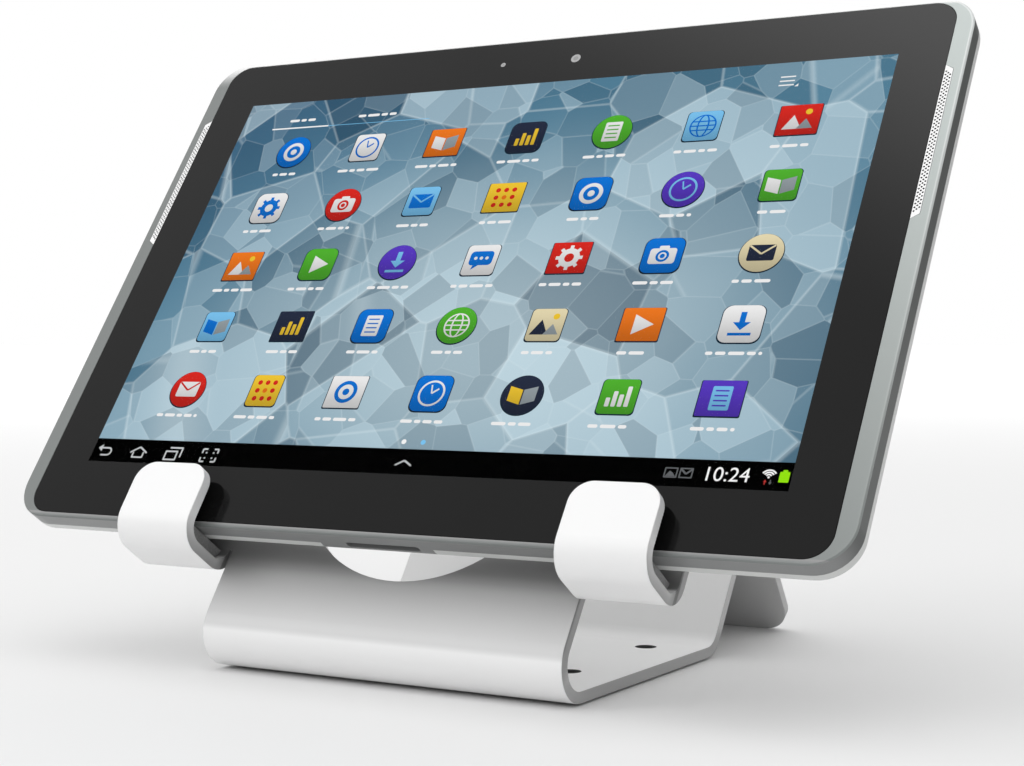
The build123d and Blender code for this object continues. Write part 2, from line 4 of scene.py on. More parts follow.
import bmesh
import bpy
from bpy.props import FloatProperty, FloatVectorProperty, PointerProperty, StringProperty
from mathutils import Matrix, Vector


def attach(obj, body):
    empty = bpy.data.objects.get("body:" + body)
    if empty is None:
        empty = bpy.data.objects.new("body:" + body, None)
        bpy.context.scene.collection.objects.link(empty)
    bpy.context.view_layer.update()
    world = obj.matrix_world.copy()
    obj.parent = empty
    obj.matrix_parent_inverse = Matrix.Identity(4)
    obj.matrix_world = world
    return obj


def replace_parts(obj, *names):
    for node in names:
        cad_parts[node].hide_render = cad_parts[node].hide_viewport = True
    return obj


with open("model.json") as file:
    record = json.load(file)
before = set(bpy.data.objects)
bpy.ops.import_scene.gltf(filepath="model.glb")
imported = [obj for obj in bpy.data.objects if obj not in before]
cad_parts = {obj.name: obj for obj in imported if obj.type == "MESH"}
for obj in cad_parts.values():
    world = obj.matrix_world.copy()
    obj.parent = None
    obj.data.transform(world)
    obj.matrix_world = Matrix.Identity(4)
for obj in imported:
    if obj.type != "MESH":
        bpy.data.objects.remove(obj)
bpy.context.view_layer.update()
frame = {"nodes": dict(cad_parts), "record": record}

bl_info = {
    "name": "Tablet kiosk stand",
    "version": (1, 0, 0),
    "blender": (4, 5, 0),
    "location": "View3D > Sidebar > Kiosk",
    "description": "Finishes for a folded kiosk stand and the tablet in its hooks, with a stage",
    "category": "Object",
}

# Lengths in this file are millimetres, in the tablet's own axes unless a name says otherwise
MM = 0.001
NODES = frame["nodes"]
RECORD = frame["record"]

# Axes of the row frame
ROW_X = Vector((1, 0, 0))
ROW_Y = Vector((0, 1, 0))
ROW_Z = Vector((0, 0, 1))

# Screen
LIT_WIDTH = 217.6
LIT_HEIGHT = 136.0
LIT_SHIFT = 0.5                 # the lit area's middle, to the right of the tablet's middle
SCREEN_DOTS = (1280.0, 800.0)   # dots across and down the lit area
DOT = LIT_WIDTH / SCREEN_DOTS[0]
BAR_DOTS = 50                   # height of the black bar at the foot of the picture
SYMBOL_DOTS = 24                # middle of the bar's symbols, above the foot of the picture
CELL_DOTS = (166, 132)          # grid of the picture's tiles
TILE_DOTS = 72
TILE = TILE_DOTS * DOT
TOP_DOTS = 118                  # middle of the first row of tiles
COLUMNS = 7                     # tiles in a row
LABEL_DOTS = 6                  # height of the dashes that stand for a name
DASHES = (22, 12, 17, 26, 14)   # lengths of those dashes, in dots
LABEL_DROP = 17                 # dots from a tile's foot to the middle of its dashes
CLOCK_DOTS = 33                 # size of the clock's digits
CLOCK_COLUMN = 1179             # middle of the clock, in dots from the left
FACETS = ((34, 0.5), (13, 0.28))  # size and strength of the background's facets
PLATE = 0.02                    # thickness of one layer of the picture
PICTURE_LIFT = 0.15             # the picture's top face above the display's
WINDOW_RISE = 0.015             # lens windows' top face above the glass

# Places that parts of the coat's finish begin at
BASE_TOP = 6.0                  # above the base plate's top face, below the rest of the stand
TABLET_SHADOW_DEPTH = 34.0            # reach of the painted shadow below the tablet's lower edge
LEG_SHADE_START = (35.0, 55.0)        # places along the row frame's Y between which the painted shade on the leg begins

# Painted light on the edges of the tablet
RIM_DEPTH = 0.45                # light front rim, down from the front face
RIM_BLUR = 0.08                 # half of the change from rim to band
EDGE_HIGHLIGHT = 0.75                # width of the painted highlight line along the rim's outer edge
CORNER = 11.0                   # corner radius of the side frame

# Stage, in metres in the row frame
KEY_PLACE = Vector((-1.5, -1.5, 1.1))
KEY_AIM = Vector((0, 0, 0.05))
KEY_SIZE = 0.9
FLOOR_RADIUS = 40.0


# Tablet's axes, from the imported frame


def mount(name):
    """One of the record's mounts."""
    return next(m for m in RECORD["mounts"] if m["name"] == name)


UP = Vector(mount("headset_socket")["axis"]).normalized()
RIGHT = ROW_X
OUT = RIGHT.cross(UP)


def along(node, axis):
    """Lowest and highest place of a node's corners along an axis, in millimetres."""
    places = [v.co.dot(axis) / MM for v in NODES[node].data.vertices]
    return min(places), max(places)


FACE = along("cover_glass", OUT)[1]
PICTURE_DROP = FACE - along("display_panel", OUT)[1] + PICTURE_LIFT
MIDDLE = RIGHT * sum(along("side_frame", RIGHT)) / 2 + UP * sum(along("side_frame", UP)) / 2
ORIGIN = (MIDDLE + OUT * FACE) * MM


def in_tablet(x, y, z=0.0):
    """A point of the row frame from millimetres right, up and out of the middle of the glass."""
    return ORIGIN + (RIGHT * x + UP * y + OUT * z) * MM


def linear(shade):
    """Scene colour of a display colour given as three shares or one grey."""
    channels = (shade,) * 3 if isinstance(shade, (int, float)) else tuple(shade)
    return tuple(c / 12.92 if c <= 0.04045 else ((c + 0.055) / 1.055) ** 2.4 for c in channels)


def scaled(shade, share):
    """A display colour made darker by a share."""
    return tuple(share * c for c in shade)


# Shader maths


class Term:
    """A number that a finish works out, as a socket of its node tree."""

    def __init__(self, graph, socket):
        self.graph = graph
        self.socket = socket

    def result(self, operation, *values):
        made = self.graph.node("ShaderNodeMath", {"operation": operation}, dict(enumerate(values)))
        return Term(self.graph, made.outputs[0])

    def __add__(self, other):
        return self.result("ADD", self, other)

    def __radd__(self, other):
        return self.result("ADD", other, self)

    def __sub__(self, other):
        return self.result("SUBTRACT", self, other)

    def __rsub__(self, other):
        return self.result("SUBTRACT", other, self)

    def __mul__(self, other):
        return self.result("MULTIPLY", self, other)

    def __rmul__(self, other):
        return self.result("MULTIPLY", other, self)

    def __truediv__(self, other):
        return self.result("DIVIDE", self, other)

    def __rtruediv__(self, other):
        return self.result("DIVIDE", other, self)

    def __pow__(self, other):
        return self.result("POWER", self, other)

    def __neg__(self):
        return self.result("MULTIPLY", self, -1.0)

    def __abs__(self):
        return self.result("ABSOLUTE", self)

    def __lt__(self, other):
        return self.result("LESS_THAN", self, other)

    def least(self, other):
        return self.result("MINIMUM", self, other)

    def most(self, other):
        return self.result("MAXIMUM", self, other)

    def fraction(self):
        return self.result("FRACT", self)

    def fade(self, start, end):
        """0 below start, 1 above end and smooth between."""
        sockets = {0: self, 1: start, 2: end, 3: 0.0, 4: 1.0}
        made = self.graph.node("ShaderNodeMapRange", {"interpolation_type": "SMOOTHSTEP"}, sockets)
        return Term(self.graph, made.outputs[0])


class Graph:
    """A node tree and its places and directions."""

    def __init__(self, tree):
        self.tree = tree
        tree.nodes.clear()
        self.coordinates = self.node("ShaderNodeTexCoord")

    def node(self, kind, settings=None, sockets=None):
        """A node of a kind, with its settings, and its sockets set or fed by name or number."""
        made = self.tree.nodes.new(kind)
        for key, value in (settings or {}).items():
            setattr(made, key, value)
        for key, value in (sockets or {}).items():
            self.link(made.inputs[key], value)
        return made

    def link(self, slot, value):
        """Feed a socket from a term or another socket, or set it."""
        if isinstance(value, Term):
            self.tree.links.new(value.socket, slot)
        elif isinstance(value, bpy.types.NodeSocket):
            self.tree.links.new(value, slot)
        elif isinstance(value, (tuple, list)) and len(slot.default_value) == 4:
            slot.default_value = (*value[:3], 1.0)
        else:
            slot.default_value = value

    def share_along(self, vector, axis):
        """Length of a vector along an axis."""
        made = self.node("ShaderNodeVectorMath", {"operation": "DOT_PRODUCT"}, {0: vector, 1: axis})
        return Term(self, made.outputs["Value"])

    def reach(self, axis, start=0.0):
        """Millimetres along an axis of the row frame, from a start."""
        return self.share_along(self.coordinates.outputs["Object"], axis) / MM - start

    def facing(self, axis):
        """How far the surface faces an axis, from -1 to 1."""
        return self.share_along(self.coordinates.outputs["Normal"], axis)

    def screen_place(self):
        """Millimetres right and up of the middle of the lit area."""
        return self.reach(RIGHT, MIDDLE.dot(RIGHT) + LIT_SHIFT), self.reach(UP, MIDDLE.dot(UP))

    def noise(self, size, detail=2.0):
        """Cloudy variation from 0 to 1 with patches of a size in millimetres."""
        sockets = {"Vector": self.coordinates.outputs["Object"], "Scale": 1 / (size * MM), "Detail": detail}
        return Term(self, self.node("ShaderNodeTexNoise", None, sockets).outputs[0])

    def flat_place(self, x, y):
        """A place for textures from two terms in millimetres."""
        return self.node("ShaderNodeCombineXYZ", None, {"X": x * MM, "Y": y * MM}).outputs[0]

    def mix(self, share, low, high):
        """Colour between two colours."""
        return self.node("ShaderNodeMix", {"data_type": "RGBA"}, {0: share, 6: low, 7: high}).outputs[2]

    def mix_number(self, share, low, high):
        """Number between two numbers."""
        return self.node("ShaderNodeMix", None, {0: share, 2: low, 3: high}).outputs[0]

    def bump(self, height, depth, normal=None):
        """Surface relief of a depth in millimetres."""
        sockets = {"Height": height, "Distance": depth * MM, "Strength": 1.0}
        if normal is not None:
            sockets["Normal"] = normal
        return self.node("ShaderNodeBump", None, sockets).outputs[0]

    def soft_edges(self, radius):
        """Normal that rounds the edges off."""
        return self.node("ShaderNodeBevel", {"samples": 4}, {"Radius": radius * MM}).outputs[0]


class Finish(Graph):
    """A material and the nodes that make it."""

    def __init__(self, name, **sockets):
        self.material = bpy.data.materials.new(name)
        self.material.use_nodes = True
        super().__init__(self.material.node_tree)
        self.shader = self.node("ShaderNodeBsdfPrincipled")
        self.node("ShaderNodeOutputMaterial", None, {"Surface": self.shader.outputs[0]})
        self.feed(**sockets)

    def feed(self, **sockets):
        """Feed or set the shader's sockets."""
        for key, value in sockets.items():
            self.link(self.shader.inputs[key.replace("_", " ")], value)


def dress(finish, *nodes):
    """Give CAD nodes a finish."""
    for name in nodes:
        slots = NODES[name].data.materials
        slots.clear()
        slots.append(finish.material)


# Mesh pieces of the screen picture


class Plates:
    """Thin flat shapes in the tablet's axes, gathered into one piece with a named finish for each colour."""

    def __init__(self, name, finishes, floor=None):
        self.name = name
        self.finishes = finishes
        self.order = {colour: i for i, colour in enumerate(finishes)}
        self.floor = -PICTURE_DROP if floor is None else floor
        self.mesh = bmesh.new()

    def corners(self, outline, z):
        return [self.mesh.verts.new(in_tablet(x, y, z)) for x, y in outline]

    def slab(self, outline, top, bottom, colour):
        """A closed slab with an outline of (x, y) points."""
        upper, lower = self.corners(outline, top), self.corners(outline, bottom)
        faces = [self.mesh.faces.new(upper), self.mesh.faces.new(lower[::-1])]
        for i, corner in enumerate(upper):
            j = (i + 1) % len(upper)
            faces.append(self.mesh.faces.new((lower[i], lower[j], upper[j], corner)))
        for face in faces:
            face.material_index = self.order[colour]

    def shape(self, outline, level, colour):
        """A plate on a level above the picture."""
        top = PLATE * (level + 1) + self.floor
        self.slab(outline, top, top - PLATE, colour)

    def ring(self, outer, inner, level, colour):
        """A flat ring between two outlines of as many points."""
        top = PLATE * (level + 1) + self.floor
        outer_top, outer_low, inner_top, inner_low = (
            self.corners(outline, z) for outline in (outer, inner) for z in (top, top - PLATE)
        )
        for i in range(len(outer)):
            j = (i + 1) % len(outer)
            for face in (
                (outer_top[i], outer_top[j], inner_top[j], inner_top[i]),
                (outer_low[j], outer_low[i], inner_low[i], inner_low[j]),
                (outer_low[i], outer_low[j], outer_top[j], outer_top[i]),
                (inner_top[i], inner_top[j], inner_low[j], inner_low[i]),
            ):
                self.mesh.faces.new(face).material_index = self.order[colour]

    def finish(self, slot="display"):
        """Turn the shapes into an object that rides on the tablet."""
        bmesh.ops.recalc_face_normals(self.mesh, faces=self.mesh.faces)
        data = bpy.data.meshes.new(self.name)
        self.mesh.to_mesh(data)
        self.mesh.free()
        for finish in self.finishes.values():
            data.materials.append(finish.material)
        return ride_tablet(self.name, data)


def ride_tablet(name, data, place=None):
    """An object that rides on the tablet, at the row frame's origin unless a place is given."""
    made = bpy.data.objects.new(name, data)
    bpy.context.scene.collection.objects.link(made)
    if place is not None:
        made.matrix_world = place
    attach(made, "tablet")
    return made


def round_box(x, y, width, height, radius, steps=5):
    """Outline of a rectangle with round corners about a middle."""
    points = []
    for quarter, (sx, sy) in enumerate(((1, 1), (-1, 1), (-1, -1), (1, -1))):
        cx = x + sx * (width / 2 - radius)
        cy = y + sy * (height / 2 - radius)
        for step in range(steps + 1):
            a = math.radians(90 * (quarter + step / steps))
            points.append((cx + radius * math.cos(a), cy + radius * math.sin(a)))
    return points


def many_sided(x, y, radius, sides=36):
    """Outline of an even polygon about a middle, or a circle with many sides."""
    angles = [math.tau * i / sides for i in range(sides)]
    return [(x + radius * math.cos(a), y + radius * math.sin(a)) for a in angles]


def bow(x, y, radius, width, start, end, steps=12):
    """Outline of an arc about a middle, from one angle in degrees to another."""
    angles = [math.radians(start + (end - start) * i / steps) for i in range(steps + 1)]
    points = []
    for r, order in ((radius + width / 2, angles), (radius - width / 2, angles[::-1])):
        points += [(x + r * math.cos(a), y + r * math.sin(a)) for a in order]
    return points


def line_box(a, b, width):
    """Outline of a straight stroke between two points."""
    a, b = Vector(a), Vector(b)
    way = b - a
    side = Vector((-way.y, way.x)).normalized() * width / 2
    return [tuple(a - side), tuple(b - side), tuple(b + side), tuple(a + side)]


def on_screen(column_dots, row_dots):
    """Tablet place of a dot of the picture, counted from its upper left corner."""
    x = (column_dots / SCREEN_DOTS[0] - 0.5) * LIT_WIDTH
    y = (0.5 - row_dots / SCREEN_DOTS[1]) * LIT_HEIGHT
    return x + LIT_SHIFT, y


# Marks on the tiles


class Pen:
    """Draws on a tile in shares of its width, from its middle, in its ink unless a colour is given."""

    def __init__(self, plates, x, y, ink, ground):
        self.plates = plates
        self.middle = (x, y)
        self.ink = ink
        self.ground = ground

    def placed(self, outline):
        x, y = self.middle
        return [(x + a * TILE, y + b * TILE) for a, b in outline]

    def patch(self, outline, level=2, colour=None):
        self.plates.shape(self.placed(outline), level, colour or self.ink)

    def line(self, a, b, width, level=2, colour=None):
        self.patch(line_box(a, b, width), level, colour)

    def ring(self, outer, inner, level=2, colour=None):
        self.plates.ring(self.placed(outer), self.placed(inner), level, colour or self.ink)


def rings(pen):
    pen.ring(many_sided(0, 0, 0.3), many_sided(0, 0, 0.2))
    pen.patch(many_sided(0, 0, 0.09, 24))


def bars(pen):
    for i, height in enumerate((0.22, 0.38, 0.3, 0.5)):
        pen.patch(round_box((i - 1.5) * 0.15, (height - 0.5) / 2, 0.1, height, 0.02, 2))


def peaks(pen):
    pen.patch([(-0.36, -0.26), (0.1, -0.26), (-0.13, 0.14)])
    pen.patch([(-0.02, -0.26), (0.36, -0.26), (0.17, 0.02)], 3, "grey")
    pen.patch(many_sided(0.2, 0.22, 0.08, 20), 2, "yellow")


def dots(pen):
    for i in range(9):
        spot = many_sided((i % 3 - 1) * 0.22, (i // 3 - 1) * 0.22, 0.065, 16)
        pen.patch(spot, 2, "orange" if i == 4 else pen.ink)


def envelope(pen):
    pen.patch(round_box(0, 0, 0.62, 0.42, 0.04, 2))
    for side in (-1, 1):
        pen.line((side * 0.29, 0.19), (0, -0.03), 0.045, 3, pen.ground)


def dial(pen):
    pen.ring(many_sided(0, 0, 0.34), many_sided(0, 0, 0.29))
    pen.line((0, 0), (0.16, 0.12), 0.045)
    pen.line((0, 0), (-0.05, 0.22), 0.035, 3)


def page(pen):
    pen.patch(round_box(0, 0, 0.44, 0.58, 0.03, 2))
    for i in range(4):
        y = 0.18 - i * 0.12
        pen.line((-0.15, y), (0.15, y), 0.035, 3, pen.ground)


def arrow(pen):
    pen.patch([(-0.18, -0.26), (0.3, 0), (-0.18, 0.26)])


def speech(pen):
    pen.patch(round_box(0, 0.05, 0.62, 0.4, 0.1))
    pen.patch([(-0.16, -0.1), (-0.2, -0.28), (0.04, -0.1)], 3)
    for i in (-1, 0, 1):
        pen.patch(many_sided(i * 0.15, 0.05, 0.045, 16), 4, pen.ground)


def cog(pen):
    pen.ring(many_sided(0, 0, 0.26), many_sided(0, 0, 0.12))
    for i in range(8):
        way = Vector((math.cos(math.tau * i / 8), math.sin(math.tau * i / 8)))
        pen.line(way * 0.22, way * 0.34, 0.09, 3)


def book(pen):
    for side, colour in ((-1, pen.ink), (1, "grey")):
        edge, fold = side * 0.34, side * 0.015
        leaf = [(edge, 0.22), (fold, 0.13), (fold, -0.25), (edge, -0.15)]
        pen.patch(leaf[::-side], 2, colour)


def globe(pen):
    for share in (1.0, 0.45):
        outer = [(a * share, b) for a, b in many_sided(0, 0, 0.33)]
        inner = [(a * (share - 0.12), b * 0.9) for a, b in many_sided(0, 0, 0.33)]
        pen.ring(outer, inner)
    for y, half in ((-0.13, 0.29), (0.0, 0.32), (0.13, 0.29)):
        pen.line((-half, y), (half, y), 0.035, 3)


def tray(pen):
    pen.line((0, 0.3), (0, 0), 0.13)
    pen.patch([(-0.2, 0.04), (0, -0.16), (0.2, 0.04)], 3)
    pen.line((-0.26, -0.26), (0.26, -0.26), 0.07)


def lens(pen):
    pen.patch(round_box(0, -0.02, 0.64, 0.42, 0.07))
    pen.patch(round_box(0, 0.2, 0.24, 0.12, 0.03))
    pen.ring(many_sided(0, -0.02, 0.16), many_sided(0, -0.02, 0.1), 3, pen.ground)
    pen.patch(many_sided(0, -0.02, 0.06, 20), 3, pen.ground)


MARKS = (rings, bars, peaks, speech, envelope, dial, page, arrow, cog, dots, book, globe, tray, lens)

PALETTE = {
    "white": (0.97, 0.97, 0.97), "blue": (0.07, 0.47, 0.87), "orange": (0.97, 0.49, 0.14),
    "green": (0.33, 0.72, 0.20), "red": (0.88, 0.17, 0.14), "dark": (0.16, 0.19, 0.27),
    "yellow": (0.98, 0.81, 0.22), "violet": (0.36, 0.24, 0.78), "sky": (0.50, 0.79, 0.97),
    "sand": (0.93, 0.88, 0.72), "grey": (0.62, 0.66, 0.68), "shade": (0.12, 0.20, 0.27),
}
GROUNDS = (
    "blue", "white", "orange", "dark", "green", "sky", "red",
    "white", "red", "sky", "yellow", "blue", "violet", "green",
    "orange", "green", "violet", "white", "red", "blue", "sand",
    "sky", "dark", "blue", "green", "sand", "orange", "white",
    "red", "yellow", "white", "blue", "dark", "green", "violet",
)
INKS = {
    "blue": "white", "white": "blue", "orange": "white", "dark": "yellow", "green": "white", "sky": "blue",
    "red": "white", "yellow": "red", "violet": "sky", "sand": "dark",
}


# Sizes and colours that a user would change


def colour_property(name, description, default):
    return FloatVectorProperty(
        name=name, description=description, subtype="COLOR", default=default, min=0.0, max=1.0,
    )


def share_property(name, description, default):
    return FloatProperty(
        name=name, description=description, subtype="FACTOR", default=default, min=0.0, max=1.0,
    )


class KioskCoat(bpy.types.PropertyGroup):
    """Coating of the folded stand"""

    colour: colour_property("Coat colour", "Colour of the powder coat", (0.955, 0.955, 0.955))
    roughness: share_property("Coat roughness", "How matt the coat is", 0.42)
    # Strength of the painted shade on the sheet's cut edges
    edge_shade_strength: share_property("Edge darkness", "Thinner coat on the cut edges", 0.4)
    # Strength of the painted shadow that the tablet casts on the front wall
    tablet_shadow_strength: share_property("Contact darkness", "Dull band under the tablet's edge", 0.88)
    # Strength of the painted shade on the rear leg's inner face
    leg_shade_strength: share_property("Leg darkness", "Dull inner face of the rear leg", 0.36)
    edge_radius: FloatProperty(
        name="Edge radius", description="Rounding of the cut edges under the coat, in millimetres",
        default=0.45, min=0.0,
    )


class KioskShell(bpy.types.PropertyGroup):
    """Outside of the tablet"""

    rim: colour_property("Rim colour", "Light front rim of the side frame", (0.47, 0.485, 0.48))
    # Painted light on the front rim, lighter to the upper right
    rim_painted_light: colour_property("Rim light colour", "Front rim at the upper right", (0.76, 0.79, 0.78))
    # band and band_painted_light are shaded and lit copies of one colour: painted light makes the lower side
    # lighter than the left and right sides
    band: colour_property("Band colour", "Left and right sides of the side frame", (0.26, 0.275, 0.27))
    band_painted_light: colour_property("Band light colour", "Lower side of the side frame", (0.535, 0.54, 0.54))
    cover: colour_property("Cover colour", "Back cover", (0.84, 0.845, 0.84))
    border: colour_property("Border colour", "Printed border behind the glass", (0.05, 0.05, 0.05))
    # Painted reflection on the border, lighter to the upper right
    border_painted_reflection: colour_property(
        "Border light colour", "Printed border at the upper right", (0.28, 0.28, 0.28),
    )


class KioskScreen(bpy.types.PropertyGroup):
    """Picture on the screen"""

    middle: colour_property("Picture middle", "Light middle of the background", (0.73, 0.82, 0.86))
    edge: colour_property("Picture edge", "Darker edge of the background", (0.34, 0.52, 0.615))
    corner: colour_property("Picture corner", "Darkest corner of the background", (0.25, 0.40, 0.51))
    brightness: FloatProperty(name="Brightness", description="Light of the screen", default=1.0, min=0.0)
    clock: StringProperty(name="Clock", description="Digits in the corner of the bar", default="10:24")


class KioskStage(bpy.types.PropertyGroup):
    """Camera, lights and floor"""

    camera_place: FloatVectorProperty(
        name="Camera place", description="Place of the camera in the row frame", subtype="TRANSLATION",
        unit="LENGTH", default=(0.26974, -0.44536, 0.09017),
    )
    azimuth: FloatProperty(
        name="Camera azimuth", description="Turn of the view to the left of +Y, in degrees", default=30.32,
    )
    fall: FloatProperty(
        name="Camera fall", description="Fall of the view below level, in degrees", default=1.31,
    )
    lens: FloatProperty(name="Lens", description="Focal length", default=64.775, unit="CAMERA")
    sky: FloatProperty(name="Sky light", description="Strength of the white surround", default=1.0, min=0.0)
    key_light: FloatProperty(
        name="Key light", description="Power of the large front light, in watts", default=7.0, min=0.0,
    )


GROUPS = {
    "kiosk_coat": KioskCoat, "kiosk_shell": KioskShell,
    "kiosk_screen": KioskScreen, "kiosk_stage": KioskStage,
}


# Operators


class KioskOperator(bpy.types.Operator):
    """One step of finishing the kiosk"""

    bl_options = {"REGISTER", "UNDO"}

    def execute(self, context):
        self.make(context.scene)
        return {"FINISHED"}


class KIOSK_OT_coat_stand(KioskOperator):
    """Powder coat on the folded sheet, with painted shade on its edges, under the tablet, on the leg and in
    the holes
    """

    bl_idname = "kiosk.coat_stand"
    bl_label = "Coat the stand"

    def make(self, scene):
        coat = scene.kiosk_coat
        finish = Finish("white_powder_coat", IOR=1.5)
        patches = finish.noise(35, detail=3)
        peel = finish.noise(1.1, detail=2)
        grain = finish.noise(0.28, detail=1)
        shade = linear(coat.colour)
        # Dark grey that the painted shade on the cut edges, under the tablet and on the leg mixes in
        dull = linear(0.30)
        colour = finish.mix(patches, scaled(shade, 0.985), shade)
        # Painted shade on the cut edges
        colour = finish.mix(self.painted_edge_shade(finish) * coat.edge_shade_strength, colour, dull)
        # Painted shadow of the tablet on the front wall
        colour = finish.mix(self.painted_tablet_shadow(finish) * coat.tablet_shadow_strength, colour, dull)
        # Painted shade on the rear leg's inner face
        colour = finish.mix(self.painted_leg_shade(finish) * coat.leg_shade_strength, colour, dull)
        # Dark grey in the screw holes: bare steel with painted shade
        colour = finish.mix(self.bare_and_shaded_holes(finish), colour, linear(0.34))
        finish.feed(
            Base_Color=colour,
            Roughness=coat.roughness - 0.04 + patches * 0.08,
            Normal=finish.bump(peel * 0.7 + grain * 0.3, 0.012, finish.soft_edges(coat.edge_radius)),
        )
        dress(finish, "folded_frame")

    def painted_edge_shade(self, finish):
        """Painted shade on the left and right cut edges of the sheet: darkest below the hooks' lips, whose
        own edges stay light.
        """
        ahead = finish.reach(OUT) - along("back_pads", OUT)[0]
        lip = (finish.reach(UP) - along("side_frame", UP)[0]).fade(-9, 2) * ahead.fade(1, 4)
        low = 1 - finish.reach(ROW_Z).fade(BASE_TOP - 1, BASE_TOP + 3)
        # Strength of the painted shade along the edges
        dull = ((ahead.fade(-8, -2) * 0.65).most(low * 0.35) + 1) * (1 - lip)
        return abs(finish.facing(RIGHT)).fade(0.8, 0.97) * dull

    def painted_tablet_shadow(self, finish):
        """Painted shadow of the tablet on the front wall: a band below the tablet's lower edge, darkest next
        to it.
        """
        below = along("side_frame", UP)[0] - finish.reach(UP)
        from_wall = abs(finish.reach(OUT) - along("back_pads", OUT)[0])
        band = ((TABLET_SHADOW_DEPTH - below) / 40).most(0.0).least(0.75) + (1 - below.fade(0.0, 7.0)) * 0.25
        return band * below.fade(-16, 2) * (1 - from_wall.fade(0.4, 1.2))

    def painted_leg_shade(self, finish):
        """Painted shade on the inner face of the rear leg, which little light reaches."""
        return (-finish.facing(ROW_Z)).fade(0.1, 0.4) * finish.reach(ROW_Y).fade(*LEG_SHADE_START)

    def bare_and_shaded_holes(self, finish):
        """Bare steel inside the four screw holes, darkened with painted shade of the hollow."""
        spacing = mount("base_screws")["dims"]
        x = abs(finish.reach(ROW_X)) - spacing["spacing_x_mm"] / 2
        y = abs(finish.reach(ROW_Y)) - spacing["spacing_y_mm"] / 2
        from_middle = (x * x + y * y) ** 0.5
        in_hole = 1 - from_middle.fade(spacing["hole_r_mm"] + 0.02, spacing["hole_r_mm"] + 0.12)
        return in_hole * (finish.reach(ROW_Z) < BASE_TOP)


class KIOSK_OT_finish_pads(KioskOperator):
    """Rubber of the pads"""

    bl_idname = "kiosk.finish_pads"
    bl_label = "Finish the pads"

    def make(self, scene):
        self.rubber("black_rubber", 0.13, "base_pad", "back_pads")
        self.rubber("grey_rubber", 0.56, "hook_pad_left", "hook_pad_right")

    def rubber(self, name, grey, *nodes):
        finish = Finish(name)
        grain = finish.noise(0.5, detail=3)
        finish.feed(
            Base_Color=finish.mix(grain, linear(grey * 0.8), linear(grey * 1.1)),
            Roughness=0.72 + grain * 0.2,
            Normal=finish.bump(grain, 0.03),
        )
        dress(finish, *nodes)


